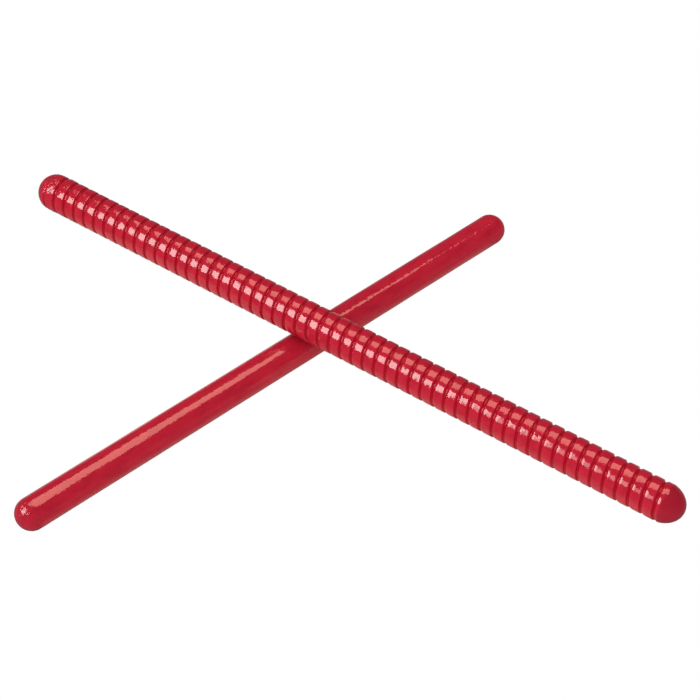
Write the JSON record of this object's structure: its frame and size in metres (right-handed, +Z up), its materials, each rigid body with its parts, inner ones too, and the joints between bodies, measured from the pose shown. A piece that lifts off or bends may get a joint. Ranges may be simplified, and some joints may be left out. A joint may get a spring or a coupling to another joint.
{
  "type": "rhythm sticks",
  "caption": "Pair of round-ended lacquered wooden rhythm sticks lying crossed: a plain one underneath and a thicker one with a spiral groove for scraping on top.",
  "frame": {"origin": "on the table under the middle of the box around both sticks, which is also the lowest level of both", "axes": "+Z up; +X to the right along the longer diagonal of the flat X that the sticks make; +Y away from the side they are seen from"},
  "size_m": [0.3008, 0.2176, 0.0453],
  "materials": {
    "plain_lacquer": "high-gloss red lacquer over turned hardwood",
    "ribbed_lacquer": "thick high-gloss red lacquer over turned and spirally grooved hardwood"
  },
  "bodies": {
    "plain_stick": {"plain_stick": "plain_lacquer"},
    "ribbed_stick": {"ribbed_stick": "ribbed_lacquer"}
  },
  "joints": [
    {"name": "ribbed_stick_lift", "type": "slide", "parent": "plain_stick", "child": "ribbed_stick", "axis": [0, 0, 1], "range_m": [0, 0.15]}
  ]
}
